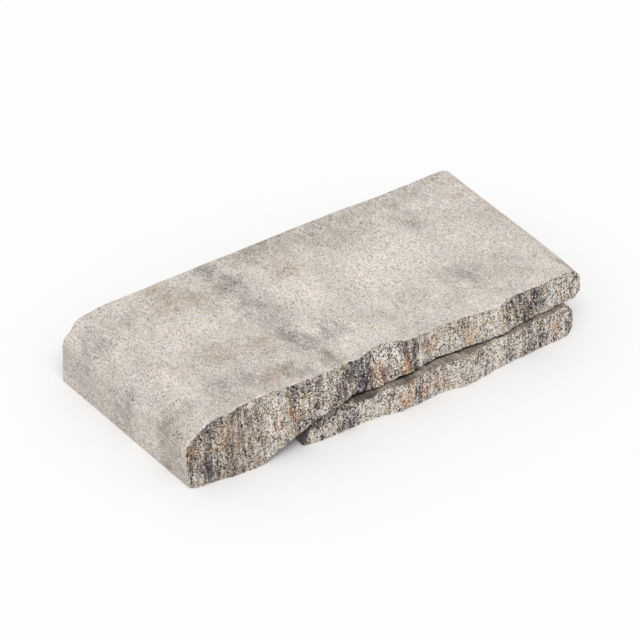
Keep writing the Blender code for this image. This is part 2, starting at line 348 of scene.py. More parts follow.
class Builder:
    """Collects the mesh's points, faces and the shares that its material reads."""

    def __init__(self, solid):
        self.solid = solid
        self.points, self.faces = [], []
        self.shares = {"joint": [], "behind": [], "covered": []}

    def point(self, place, joint=0.0, behind=1.0, covered=0.0):
        self.points.append(place)
        self.shares["joint"].append(joint)
        self.shares["behind"].append(behind)
        self.shares["covered"].append(covered)
        return len(self.points) - 1

    def strips(self, near, far):
        """Faces between two rings of points, which run anticlockwise seen from the front."""
        for index in range(len(near)):
            self.faces.append((near[index - 1], far[index - 1], far[index], near[index]))

    def split_face(self, stone):
        """The broken face. Returns each place's point and its depth."""
        right = stone.at((0, stone.columns))[0]
        ids, depths = {}, {}
        for row in range(stone.rows + 1):
            for column in range(stone.columns + 1):
                x, z = stone.at((row, column))
                low, high = stone.at((0, column))[1], stone.at((stone.rows, column))[1]
                ray_x = clamp(x, stone.at((row, 0))[0] + RAY_MARGIN, right - RAY_MARGIN)
                ray_z = clamp(z, low + RAY_MARGIN, high - RAY_MARGIN)
                depth = self.solid.depth(drawn_in(ray_x, 0.0), ray_z, 1.0)
                depth += split_relief(x, z) + hollow(x, z)
                depths[row, column] = depth
                place = Vector((drawn_in(x, depth), depth, z))
                if (row, column) in stone.outward:
                    place -= stone.outward[row, column] * chip_drop(x, z, 0.0)
                ids[row, column] = self.point(place, behind=0.0)
        for row in range(stone.rows):
            for column in range(stone.columns):
                self.faces.append((
                    ids[row, column], ids[row, column + 1],
                    ids[row + 1, column + 1], ids[row + 1, column],
                ))
        return ids, depths

    def side_point(self, x, z, outward, depth, front, joint=0.0, covered=0.0):
        """A point of a moulded side, behind its place on the split face."""
        behind = depth - front
        sunk = moulded_relief(x, depth, z) * min(behind / CHIP_REACH, 1.0)
        sunk += chip_drop(x, z, behind)
        place = Vector((drawn_in(x, depth), depth, z + back_corner_rise(x, depth, z)))
        return self.point(place - outward * sunk, joint=joint, behind=behind, covered=covered)


def joint_share(stone, key, upper, share):
    """How much of the joint's look a rim place has, its darker colour with painted shade and dirt:
    all in the slot, less around it and behind.
    """
    row, column = key
    x = stone.at(key)[0]
    if upper:
        faces_joint = row == 0 and FOOT_LENGTH < x
    else:
        faces_joint = row == stone.rows or column == 0
    if not faces_joint:
        return 0.0
    if JOINT_START <= x <= WEB_END:
        return 1.0
    return (1.0 - share) * fading(max(x - WEB_END, 0.0), LOWER_NOSE_TOP_RADIUS)


def cover_depth(cover, x):
    """Where the upper stone's lower edge stands over the ledge, from its list of (x, depth)."""
    return min(cover, key=lambda pair: abs(pair[0] - x))[1]


def front_sides(builder, stone, upper, cover=()):
    """Sides of one stone, from its split face back to the end of the joint's slot."""
    ids, depths = builder.split_face(stone)
    near = [ids[key] for key in stone.rim]
    roofs = {}
    for key in stone.rim:
        if cover and key[0] == stone.rows:
            roofs[key] = cover_depth(cover, stone.at(key)[0])
    for share in FRONT_STATION_SHARES:
        far = []
        for key in stone.rim:
            x, z = stone.at(key)
            depth = depths[key] + (JOINT_CUT_DEPTH - depths[key]) * share
            joint = joint_share(stone, key, upper, share)
            # How far a ledge point lies under the upper stone's edge, by which the material paints
            # shade with dirt
            covered = 0.0
            if key in roofs:
                covered = clamp((depth - roofs[key] + SHELTER_REACH) / SHELTER_REACH, 0.0, 1.0)
            outward = stone.outward[key]
            far.append(builder.side_point(x, z, outward, depth, depths[key], joint, covered))
        builder.strips(near, far)
        near = far
    return dict(zip(stone.rim, near)), depths


def joined_ring(builder, upper, lower, upper_ids, lower_ids):
    """Closes the slot's end and returns the block's ring of (point, x, z, outward) behind it."""
    first, web = len(foot_columns()) - 1, JOINT_COLUMNS
    middle = []
    for column in range(web + 1):
        x, z = lower.at((lower.rows, column))
        place = Vector((drawn_in(x, JOINT_CUT_DEPTH), JOINT_CUT_DEPTH, z + JOINT_GAP / 2))
        middle.append(builder.point(place, joint=1.0))
    floor = [lower_ids[lower.rows, column] for column in range(web + 1)]
    roof = [upper_ids[0, first + column] for column in range(web + 1)]
    for low, high in ((floor, middle), (middle, roof)):
        for column in range(web):
            builder.faces.append((low[column], low[column + 1], high[column + 1], high[column]))

    def part(stone, ids, keys):
        return [(ids[key], *stone.at(key), stone.outward[key]) for key in keys]

    def gap(column, way):
        x, z = lower.at((lower.rows, column))
        return [(middle[column], x, z + JOINT_GAP / 2, Vector((way, 0.0, 0.0)))]

    last = upper.rim.index((upper.rows, upper.columns))
    ring = part(upper, upper_ids, [(0, column) for column in range(first + 1)])
    ring += gap(0, -1.0)
    ring += part(lower, lower_ids, [(row, 0) for row in range(lower.rows, 0, -1)])
    ring += part(lower, lower_ids, [(0, column) for column in range(lower.columns)])
    ring += part(lower, lower_ids, [(row, lower.columns) for row in range(lower.rows)])
    nose = [(lower.rows, column) for column in range(lower.columns, web - 1, -1)]
    ring += part(lower, lower_ids, nose)
    ring += gap(web, 1.0)
    ring += part(upper, upper_ids, [(0, column) for column in range(first + web, upper.columns)])
    ring += part(upper, upper_ids, upper.rim[last - upper.rows:])
    return ring


def halved(builder, ring, depth):
    """The next ring behind, with every second place left out."""
    fine = [entry[0] for entry in ring]
    kept = ring[::2]
    ids = [builder.side_point(x, z, outward, depth, 0.0) for _, x, z, outward in kept]
    for index in range(len(kept)):
        after = (index + 1) % len(kept)
        start, middle, end = fine[2 * index], fine[2 * index + 1], fine[(2 * index + 2) % len(fine)]
        builder.faces.append((start, ids[index], middle))
        builder.faces.append((middle, ids[index], ids[after]))
        builder.faces.append((middle, ids[after], end))
    return [(point, *entry[1:]) for point, entry in zip(ids, kept)]


def back_depth(builder, x, z):
    return builder.solid.depth(clamp(x, RAY_MARGIN, LENGTH - RAY_MARGIN), z, -1.0)


def rear_sides(builder, ring):
    """Sides from the joint's end to the back, whose edge wanders and is slightly worn."""
    ends = []
    for _, x, z, outward in ring:
        wave = 0.5 + 0.5 * rolling(Vector((x, BACK_SLICE, z)) / BACK_WAVE_SIZE, SWELL_OCTAVES)
        inside_x, inside_z = x - outward.x * RAY_MARGIN, z - outward.z * RAY_MARGIN
        wave = BACK_WAVE_DEPTH * clamp(wave, 0.0, 1.0) * min(x / BACK_WAVE_SIZE, 1.0)
        ends.append(back_depth(builder, inside_x, inside_z) - wave)
    spacing = (DEPTH - JOINT_CUT_DEPTH) / REAR_STATIONS
    ring = halved(builder, ring, JOINT_CUT_DEPTH + spacing)
    ends = ends[::2]
    near = [entry[0] for entry in ring]
    start = JOINT_CUT_DEPTH + spacing
    for share in span(0.0, 1.0, REAR_STATIONS - 1)[1:]:
        far = []
        for (_, x, z, outward), end in zip(ring, ends):
            depth = start + (end - BACK_ARRIS - start) * share
            far.append(builder.side_point(x, z, outward, depth, 0.0))
        builder.strips(near, far)
        near = far
    rim = []
    for (_, x, z, outward), end in zip(ring, ends):
        sunk = moulded_relief(x, end, z) + BACK_ARRIS_INSET
        place = Vector((x, end, z + back_corner_rise(x, end, z)))
        rim.append(builder.point(place - outward * sunk))
    builder.strips(near, rim)
    return rim


def inside(place, corners, margin):
    """Whether a place lies within the ring of corners and at least the margin away from them."""
    crossings = False
    for before, after in zip(corners, corners[1:] + corners[:1]):
        if (after - place).length < margin:
            return False
        if (before.y > place.y) != (after.y > place.y):
            run = (after.x - before.x) * (place.y - before.y) / (after.y - before.y)
            if place.x < before.x + run:
                crossings = not crossings
    return crossings


def back_face(builder, rim):
    """The flat back, filled in between its rim."""
    corners = [Vector((builder.points[point].x, builder.points[point].z)) for point in rim]
    extra = []
    for column, x in enumerate(span(0.0, LENGTH, round(LENGTH / BACK_SPACING))):
        for z in span(0.0, HEIGHT, round(HEIGHT / BACK_SPACING)):
            place = Vector((x, z + (column % 2) * BACK_SPACING / 2))
            if inside(place, corners, BACK_MARGIN):
                extra.append(place)
    ids = list(rim)
    for place in extra:
        depth = back_depth(builder, place.x, place.y)
        sunk = moulded_relief(place.x, depth, place.y)
        ids.append(builder.point(Vector((place.x, depth - sunk, place.y))))
    order = list(range(len(rim)))
    _, _, faces, origins, _, _ = geometry.delaunay_2d_cdt(
        corners + extra, [], [order], FILL_INSIDE, FILL_PRECISION,
    )
    for face in faces:
        builder.faces.append([ids[origins[corner][0]] for corner in reversed(face)])


def block_mesh(solid):
    builder = Builder(solid)
    upper, lower = Stone(upper_columns(), UPPER_ROWS), Stone(lower_columns(), LOWER_ROWS)
    upper_ids, upper_depths = front_sides(builder, upper, True)
    first = len(foot_columns()) - 1
    cover = [
        (upper.at((0, column))[0], upper_depths[0, column])
        for column in range(first, upper.columns + 1)
    ]
    lower_ids, _ = front_sides(builder, lower, False, cover)
    ring = joined_ring(builder, upper, lower, upper_ids, lower_ids)
    back_face(builder, rear_sides(builder, ring))
    mesh = bpy.data.meshes.new("wall_block_stone")
    mesh.from_pydata([place + solid.shift for place in builder.points], [], builder.faces)
    for name, values in builder.shares.items():
        mesh.attributes.new(name, "FLOAT", "POINT").data.foreach_set("value", values)
    mesh.shade_smooth()
    mesh.set_sharp_from_angle(angle=math.radians(SHARP_ANGLE))
    return mesh


# Calls that make the material's nodes

class Nodes:
    """Makes a material's nodes. A value may be a number, a colour or another node's output."""

    def __init__(self, name):
        self.material = bpy.data.materials.new(name)
        self.material.use_nodes = True
        self.tree = self.material.node_tree
        self.shader = self.tree.nodes["Principled BSDF"]

    def feed(self, socket, value):
        if isinstance(value, bpy.types.NodeSocket):
            self.tree.links.new(value, socket)
        else:
            socket.default_value = value

    def new(self, kind, inputs, **settings):
        made = self.tree.nodes.new("ShaderNode" + kind)
        for name, value in settings.items():
            setattr(made, name, value)
        for name, value in inputs.items():
            self.feed(made.inputs[name], value)
        return made

    def node(self, kind, inputs, output=0, **settings):
        """One output of a new node, by its place or name."""
        return self.new(kind, inputs, **settings).outputs[output]

    def maths(self, operation, first, second=0.0, third=0.0):
        return self.node("Math", {0: first, 1: second, 2: third}, operation=operation)

    def weighted(self, weights, *values):
        """The first weight, plus each value times its own weight."""
        total = weights[0]
        for value, weight in zip(values, weights[1:]):
            total = self.maths("MULTIPLY_ADD", value, weight, total)
        return total

    def part(self, place, axis):
        """One coordinate of a place."""
        return self.node("SeparateXYZ", {0: place}, output=axis)

    def scaled(self, colour, share):
        return self.node("VectorMath", {0: colour, 3: share}, operation="SCALE")

    def stretched(self, place, sizes):
        """Coordinates in which a pattern of size 1 has the sizes along X, Y and Z, in metres."""
        return self.node("VectorMath", {0: place, 1: sizes}, operation="DIVIDE")

    def clouds(self, place, sizes, detail, roughness):
        return self.node("TexNoise", {
            "Vector": self.stretched(place, sizes), "Scale": 1.0, "Detail": detail,
            "Roughness": roughness,
        })

    def cells(self, place, sizes):
        """A random value for each cell, the distance from its middle, and another random value."""
        made = self.new("TexVoronoi", {"Vector": self.stretched(place, sizes), "Scale": 1.0})
        values = self.new("SeparateColor", {0: made.outputs["Color"]}).outputs
        return values[0], made.outputs["Distance"], values[1]

    def spread(self, value, low, high, to_low=0.0, to_high=1.0):
        """Takes low to to_low and high to to_high, smoothly, and holds what lies outside."""
        return self.node("MapRange", {
            "Value": value, "From Min": low, "From Max": high, "To Min": to_low,
            "To Max": to_high,
        }, interpolation_type="SMOOTHSTEP")

    def ramp(self, value, stops, interpolation="LINEAR"):
        """A ramp through (place, colour) stops."""
        made = self.new("ValToRGB", {0: value})
        ramp = made.color_ramp
        ramp.interpolation = interpolation
        while len(ramp.elements) < len(stops):
            ramp.elements.new(0.5)
        for element, (place, colour) in zip(ramp.elements, stops):
            element.position = place
            element.color = full(colour)
        return made.outputs["Color"]

    def mix(self, share, first, second, blend="MIX"):
        made = self.new("Mix", {"Factor": share}, data_type="RGBA", blend_type=blend)
        colours = [socket for socket in made.inputs if socket.type == "RGBA"]
        self.feed(colours[0], first)
        self.feed(colours[1], second)
        return made.outputs[2]


def rgb(red, green, blue):
    """A colour as a screen shows it, from 0 to 255, in the renderer's own terms."""
    return tuple(
        (value / 255 / 12.92) if value <= 10 else ((value / 255 + 0.055) / 1.055) ** 2.4
        for value in (red, green, blue)
    )


def full(colour):
    """A colour with full cover, as most sockets take it."""
    return (*colour, 1.0)


# Colours of the concrete
CHALK = rgb(248, 245, 240)
CREAM = rgb(237, 226, 216)
PALE = rgb(213, 204, 195)
WARM_GREY = rgb(197, 187, 176)
SMOKE = rgb(139, 134, 130)
BROWN_GREY = rgb(178, 162, 144)
SPECK_GREY = rgb(122, 115, 110)
RUST = rgb(188, 128, 84)
# Near black painted shade inside the broken face's holes
PIT_SHADE = rgb(26, 24, 25)
# Near black painted shadow, with dirt, in the joint's mouth under the upper stone's edge
JOINT_SHADE_AND_DIRT = rgb(34, 28, 26)
JOINT_DARK = rgb(88, 80, 74)
JOINT_BROWN = rgb(152, 140, 129)
JOINT_PALE = rgb(204, 193, 180)
NO_TINT = (1.0, 1.0, 1.0)
WARM_TINT = (1.09, 0.92, 0.72)
COOL_TINT = (0.90, 1.03, 1.20)
# The broken face's grit from black to white, as (tone, colour)
GRIT_COLOURS = (
    (0.00, rgb(30, 31, 35)), (0.14, rgb(60, 60, 64)), (0.27, rgb(92, 88, 87)), (0.40, SPECK_GREY),
    (0.52, rgb(151, 141, 131)), (0.64, rgb(178, 167, 154)), (0.77, rgb(203, 192, 178)),
    (0.89, rgb(221, 211, 199)), (1.00, rgb(240, 234, 226)),
)
SKIN_COLOURS = ((0.28, WARM_GREY), (0.50, PALE), (0.74, CREAM))
JOINT_COLOURS = ((0.15, JOINT_DARK), (0.50, JOINT_BROWN), (0.85, JOINT_PALE))
# Tints, as (warmth, tint)
SKIN_TINTS = ((0.10, COOL_TINT), (0.42, NO_TINT), (0.60, NO_TINT), (0.95, WARM_TINT))
GRIT_TINTS = ((0.05, COOL_TINT), (0.45, NO_TINT), (0.55, NO_TINT), (0.95, WARM_TINT))

# Clouds: place along the block and along the other way, reach each way, and strength. The places
# and reaches are shares of the block's length. The other way is across on the top, and up on the
# front, which the coordinate's number says.
ACROSS, UP = 1, 2
DARK_CLOUD_SHARES = (
    (0.342, 0.44, 0.044, 0.11, 0.66), (0.35, 0.375, 0.044, 0.07, 0.78),
    (0.354, 0.25, 0.04, 0.12, 0.5), (0.356, 0.15, 0.038, 0.11, 0.68),
    (0.374, 0.05, 0.028, 0.07, 0.45), (0.785, 0.115, 0.05, 0.05, 0.5),
    (0.119, 0.39, 0.026, 0.028, 0.4), (0.8, 0.37, 0.034, 0.1, 0.26),
    (0.165, 0.08, 0.085, 0.055, 0.5), (0.0, 0.24, 0.014, 0.05, 0.5),
    (0.03, 0.385, 0.036, 0.06, 0.38), (0.01, 0.08, 0.018, 0.05, 0.45),
    (0.54, 0.46, 0.22, 0.06, 0.36), (0.84, 0.455, 0.14, 0.06, 0.32),
    (0.975, 0.03, 0.016, 0.05, 0.5), (0.62, 0.385, 0.08, 0.05, 0.18),
    (0.434, 0.115, 0.042, 0.044, 0.58), (0.3, 0.04, 0.042, 0.034, 0.7),
    (0.37, 0.1, 0.038, 0.056, 0.95), (0.058, 0.345, 0.03, 0.035, 0.28),
)
BROWN_CLOUD_SHARES = (
    (0.215, 0.4, 0.075, 0.08, 0.6), (0.485, 0.43, 0.055, 0.06, 0.7),
    (0.255, 0.052, 0.07, 0.046, 0.75), (0.29, 0.165, 0.036, 0.06, 0.66),
    (0.376, 0.04, 0.034, 0.05, 0.62), (0.65, 0.415, 0.26, 0.07, 0.28),
    (0.936, 0.385, 0.024, 0.08, 0.5), (0.49, 0.36, 0.042, 0.05, 0.55),
    (0.04, 0.09, 0.024, 0.04, 0.3), (0.205, 0.178, 0.06, 0.06, 0.46),
    (0.277, 0.36, 0.04, 0.058, 0.52), (0.092, 0.18, 0.05, 0.05, 0.32),
    (0.64, 0.11, 0.06, 0.04, 0.26), (0.0, 0.075, 0.016, 0.06, 0.5),
)
PALE_CLOUD_SHARES = (
    (0.14, 0.27, 0.07, 0.08, 0.75), (0.235, 0.28, 0.05, 0.07, 0.7), (0.468, 0.27, 0.07, 0.1, 0.9),
    (0.68, 0.255, 0.15, 0.095, 1.0), (0.86, 0.24, 0.07, 0.09, 0.6), (0.65, 0.06, 0.05, 0.036, 0.25),
    (0.08, 0.155, 0.05, 0.07, 0.4), (0.5, 0.06, 0.06, 0.05, 0.4), (0.0, 0.2, 0.012, 0.3, 0.5),
)
SOOT_CLOUD_SHARES = (
    (0.045, 0.034, 0.01, 0.034, 0.95), (0.047, 0.12, 0.01, 0.022, 0.6),
    (0.1, 0.034, 0.005, 0.046, 0.5), (0.256, 0.116, 0.007, 0.038, 0.85),
    (0.308, 0.136, 0.009, 0.016, 0.75), (0.3, 0.062, 0.009, 0.024, 0.7),
    (0.397, 0.11, 0.009, 0.026, 0.85), (0.434, 0.138, 0.034, 0.022, 0.75),
    (0.436, 0.1, 0.024, 0.036, 0.75), (0.556, 0.092, 0.007, 0.04, 0.8),
    (0.874, 0.126, 0.013, 0.024, 1.0), (0.896, 0.102, 0.009, 0.024, 1.0),
    (0.388, 0.024, 0.02, 0.022, 0.8), (0.552, 0.032, 0.009, 0.024, 0.85),
    (0.7, 0.034, 0.006, 0.01, 0.7), (0.88, 0.036, 0.008, 0.024, 0.85),
    (0.958, 0.03, 0.01, 0.03, 0.5), (0.006, 0.092, 0.008, 0.014, 0.7),
    (0.03, 0.132, 0.012, 0.008, 0.7), (0.85, 0.02, 0.012, 0.02, 0.9),
    (0.797, 0.018, 0.01, 0.018, 0.75),
)
RUST_CLOUD_SHARES = (
    (0.008, 0.09, 0.014, 0.04, 0.5), (0.085, 0.09, 0.04, 0.06, 0.15),
    (0.248, 0.092, 0.008, 0.036, 0.6), (0.468, 0.096, 0.03, 0.04, 0.45),
    (0.538, 0.088, 0.012, 0.038, 1.0), (0.606, 0.115, 0.016, 0.03, 0.45),
    (0.702, 0.098, 0.014, 0.034, 0.6), (0.524, 0.026, 0.022, 0.03, 0.8),
    (0.572, 0.028, 0.01, 0.026, 0.7), (0.939, 0.108, 0.006, 0.02, 1.0),
    (0.922, 0.032, 0.009, 0.022, 0.85), (0.62, 0.026, 0.04, 0.024, 0.35),
)
CHALK_CLOUD_SHARES = (
    (0.328, 0.062, 0.018, 0.019, 1.0), (0.34, 0.12, 0.014, 0.026, 0.42),
    (0.215, 0.095, 0.035, 0.06, 0.27), (0.756, 0.112, 0.03, 0.046, 0.36),
    (0.921, 0.11, 0.008, 0.03, 0.38), (0.427, 0.03, 0.018, 0.022, 0.38),
    (0.765, 0.036, 0.018, 0.02, 0.45), (0.822, 0.042, 0.01, 0.016, 0.35),
    (0.576, 0.095, 0.01, 0.034, 0.36),
)
# Painted shade in clouds on the lower stone alone, where the upper one overhangs it
OVERHANG_SHADE_SHARES = (
    (0.312, 0.044, 0.026, 0.012, 1.0), (0.345, 0.051, 0.024, 0.009, 0.6),
    (0.38, 0.057, 0.022, 0.007, 0.5),
)

# Bands of the split face, as (place along the length, darkness) shares
UPPER_BAND_SHARES = (
    (0.0, 0.53), (0.025, 0.58), (0.045, 0.6), (0.07, 0.52), (0.102, 0.56), (0.13, 0.48),
    (0.165, 0.45), (0.19, 0.36), (0.238, 0.37), (0.256, 0.62), (0.28, 0.55), (0.303, 0.61),
    (0.326, 0.49), (0.362, 0.61), (0.392, 0.63), (0.412, 0.63), (0.44, 0.64), (0.464, 0.46),
    (0.506, 0.38), (0.535, 0.53), (0.558, 0.71), (0.571, 0.31), (0.605, 0.35), (0.635, 0.28),
    (0.688, 0.34), (0.725, 0.29), (0.765, 0.27), (0.8, 0.5), (0.87, 0.69), (0.915, 0.31),
    (1.0, 0.36),
)
LOWER_BAND_SHARES = (
    (0.27, 0.54), (0.3, 0.48), (0.34, 0.38), (0.38, 0.57), (0.41, 0.43), (0.44, 0.26), (0.48, 0.3),
    (0.528, 0.38), (0.553, 0.6), (0.572, 0.33), (0.63, 0.27), (0.69, 0.33), (0.722, 0.38),
    (0.772, 0.26), (0.797, 0.5), (0.82, 0.36), (0.85, 0.56), (0.866, 0.46), (0.882, 0.6),
    (0.905, 0.38), (0.95, 0.46), (1.0, 0.48),
)
# Brightness of the grains, by a random value: most are alike, and a few nearly black or white
GRAIN_SHARES = ((0.00, 0.00), (0.12, 0.24), (0.34, 0.52), (0.90, 0.66), (1.00, 0.90))
SKIN_GRAIN_SHARES = ((0.00, 0.10), (0.10, 0.40), (0.35, 0.60), (1.00, 0.84))
# How lively the grit is along the face
GRIT_SWING_SHARES = (
    (0.0, 0.79), (0.24, 0.79), (0.27, 1.24), (0.54, 1.24), (0.57, 0.87), (0.77, 0.87), (0.8, 1.2),
)
# The ledge in front of the joint: how much light its rough start keeps, how much light the smooth
# rest keeps, and how wide the painted shadow with dirt is in the joint's mouth
LEDGE_GLOOM_SHARES = ((0.270, 0.24), (0.300, 0.33), (0.335, 0.46), (0.350, 0.70), (0.400, 0.88))
SMOOTH_LEDGE_SHARES = (
    (0.39, 0.92), (0.404, 0.3), (0.435, 0.36), (0.452, 0.9), (0.5, 0.95), (0.522, 0.45),
    (0.545, 0.85), (0.6, 0.9), (0.66, 0.95), (1.0, 0.95),
)
MOUTH_SHADE_AND_DIRT_SHARES = (
    (0.28, 0.0), (0.37, 0.1), (0.395, 0.7), (0.425, 1.0), (0.452, 0.3), (0.495, 0.15), (0.52, 0.85),
    (0.55, 0.6), (0.575, 0.2), (0.6, 0.7), (0.7, 0.5), (0.76, 0.3), (0.88, 0.15), (1.0, 0.0),
)

# Patterns of noise: sizes along X, Y and Z in metres, levels of detail, and roughness
SKIN_CLOUDS = ((0.045, 0.075, 0.045), 2.0, 0.5)
SKIN_MOTTLE = ((0.013, 0.020, 0.013), 4.0, 0.55)
SKIN_HUES = ((0.0032, 0.0080, 0.0032), 3.0, 0.75)
SKIN_STREAKS = ((0.0009, 0.0045, 0.0009), 2.0, 0.7)
WEAR_AND_SHEEN_CLOUDS = ((0.016, 0.016, 0.016), 4.0, 0.6)
RAGGED_EDGE = ((0.0030, 0.0030, 0.0030), 4.0, 0.75)
BAND_SWAY = ((0.008, 0.010, 0.024), 4.0, 0.65)
GRIT_STREAKS = ((0.0018, 0.004, 0.0080), 2.0, 0.5)
GRIT_FLUTES = ((0.0034, 0.006, 0.028), 2.0, 0.5)
GRIT_BLOTCHES = ((0.0080, 0.006, 0.016), 4.0, 0.55)
GRIT_HUES = ((0.0050, 0.006, 0.011), 3.0, 0.75)
RUST_SPOTS = ((0.0030, 0.003, 0.0070), 2.0, 0.6)
JOINT_LINES = ((0.0009, 0.030, 0.0015), 3.0, 0.8)
JOINT_CLOUDS = ((0.010, 0.020, 0.016), 3.0, 0.65)
TORN_SHADE_AND_DIRT = ((0.006, 0.006, 0.006), 4.0, 0.7)
# Grains: sizes along X, Y and Z in metres
SKIN_GRAIN_SIZES = (0.0008, 0.0017, 0.0008)
SKIN_SPECK_SIZES = (0.0030, 0.0044, 0.0030)
GRIT_PEBBLE_SIZES = (0.0030, 0.0034, 0.0038)
GRIT_GRAIN_SIZES = (0.0010, 0.0015, 0.0013)
JOINT_SPECK_SIZES = (0.0010, 0.0020, 0.0010)
# How the clouds above wander: the sizes of the wandering, and how far it goes, in metres
SKIN_DRIFT = ((0.016, 0.030, 0.016), (0.022, 0.050, 0.020))
GRIT_DRIFT = ((0.006, 0.020, 0.014), (0.012, 0.0, 0.024))

# Soft steps: where a step starts and ends, and what it goes from and to, 0 to 1 if not given
CLOUD_FADE = (0.2, 1.25)
CLOUD_RAGGED_STEP = (0.36, 0.60, 1.00, 0.45)
WEAR_AND_SHEEN_STEP = (0.40, 0.60)
DARK_SPECK_STEP, DARK_SPECK_EDGE = (-0.125, -0.095), (0.16, 0.34, 0.62, 0.0)
PALE_SPECK_STEP, PALE_SPECK_EDGE = (0.09, 0.06), (0.14, 0.30, 0.9, 0.0)
HOLE_STEP, HOLE_EDGE = (0.92, 0.96), (0.20, 0.35, 0.9, 0.0)
GRIT_TINT_STEP = (0.55, 1.05, 1.0, 0.60)
RUST_SPOT_STEP = (0.66, 0.88)
ROUGH_LEDGE_STEP = (0.385, 0.405, 1.0, 0.0)
MOUTH_SHADE_AND_DIRT_STEP = (0.95, 1.25, 0.0, 0.92)
# The same in metres: the top's arris is painted pale, a painted highlight that also stands for
# wear, and less so further along the block. The broken face ends at the arris.
ARRIS_HIGHLIGHT_AND_WEAR_STEP = (0.0014, 0.0044, 0.8, 0.0)
WORN_AND_LIT_ARRIS_STEP = (0.150, 0.200, 1.0, 0.3)
SPLIT_EDGE_STEP = (-0.0002, 0.0002, 1.0, 0.0)

# Sums: what a sum starts from, then the weight of each pattern in it
SKIN_TONE_WEIGHTS = (0.0, 0.50, 0.50)
SKIN_WARMTH_WEIGHTS = (-0.42, 2.1, 0.50, -0.60)
SKIN_GRAIN_WEIGHTS = (0.0, 0.7, 1.7)
SKIN_SWING_WEIGHTS = (0.62, 0.45)
SKIN_HEIGHT_WEIGHTS = (0.0, 0.9, -1.0)
DARK_SPECK_WEIGHTS = (0.93, -0.35)
GRIT_TONE_WEIGHTS = (1.005, -0.98)
GRIT_WARMTH_WEIGHTS = (-1.23, 2.7, 0.75)
GRIT_HEIGHT_WEIGHTS = (0.0, 0.5, -0.5, -0.5, -0.9)
RUST_WEIGHTS = (0.20, 0.80)
JOINT_TONE_WEIGHTS = (-0.87, 1.1, 1.6, 0.22)
LEDGE_SWAY_WEIGHTS = (-0.01, 0.02)
RAGGED_WEIGHTS = (-0.0060, 0.012)
ROUGHNESS_WEIGHTS = (0.88, 0.06)
# Weights of what is added to another pattern
GRIT_SWING_WEIGHTS = (1.95, 0.14, 0.45, 1.15, 0.85)
# The sooty clouds, the chalky clouds and the painted shade under the overhang, in this order
CLOUD_DARKNESS_WEIGHTS = (0.28, -0.35, 0.45)
RUST_SPOT_WEIGHTS = (0.18, 0.40)
MOUTH_SHADE_AND_DIRT_WEIGHTS = (0.9, 0.45)
DARK_SPECK_MOTTLE_WEIGHT = -0.25
CLOUD_OVERLAP_SHARE = 0.4
BAND_SWAY_SHARE = 0.030
LOWER_SWING_SHARE = 0.20
RUST_HUE_SHARE = 0.30

SKIN_GRAIN_MIDDLE = 1.40
SKIN_TINT_SHARE = 0.45
RUST_SHARE = 0.62
LEAST_RAGGED = 0.0003
SPECULAR_LEVEL = 0.25


def own_place(nodes):
    """The block's own coordinates: zero at its left end, nominal split line and underside."""
    place = nodes.node("TexCoord", {}, output="Object")
    shift = (LOW.x, HIGH.y - DEPTH, LOW.z)
    return nodes.node("VectorMath", {0: place, 1: shift}, operation="SUBTRACT")


def attribute(nodes, name):
    return nodes.node("Attribute", {}, output="Fac", attribute_name=name)


def drifted(nodes, place, sizes, reaches):
    """Coordinates that wander by the reaches, so that what is laid out in them looks natural."""
    drift = {"Vector": nodes.stretched(place, sizes), "Scale": 1.0}
    drift = nodes.node("TexNoise", drift, output="Color")
    drift = nodes.node("VectorMath", {0: drift, 1: (0.5, 0.5, 0.5)}, operation="SUBTRACT")
    return nodes.node("VectorMath", {0: drift, 1: reaches, 2: place}, operation="MULTIPLY_ADD")


def patches(nodes, place, shares, other):
    """Soft clouds at given places, joined by taking the strongest."""
    joined = 0.0
    for x_share, share, x_reach, reach, strength in shares:
        middle, reaches = [x_share * LENGTH, 0.0, 0.0], [x_reach * LENGTH, LENGTH, LENGTH]
        middle[other], reaches[other] = share * LENGTH, reach * LENGTH
        away = nodes.node("VectorMath", {0: place, 1: middle}, operation="SUBTRACT")
        away = {0: nodes.stretched(away, reaches)}
        away = nodes.node("VectorMath", away, output="Value", operation="LENGTH")
        joined = nodes.maths("MAXIMUM", joined, nodes.spread(away, *CLOUD_FADE, strength, 0.0))
    return joined


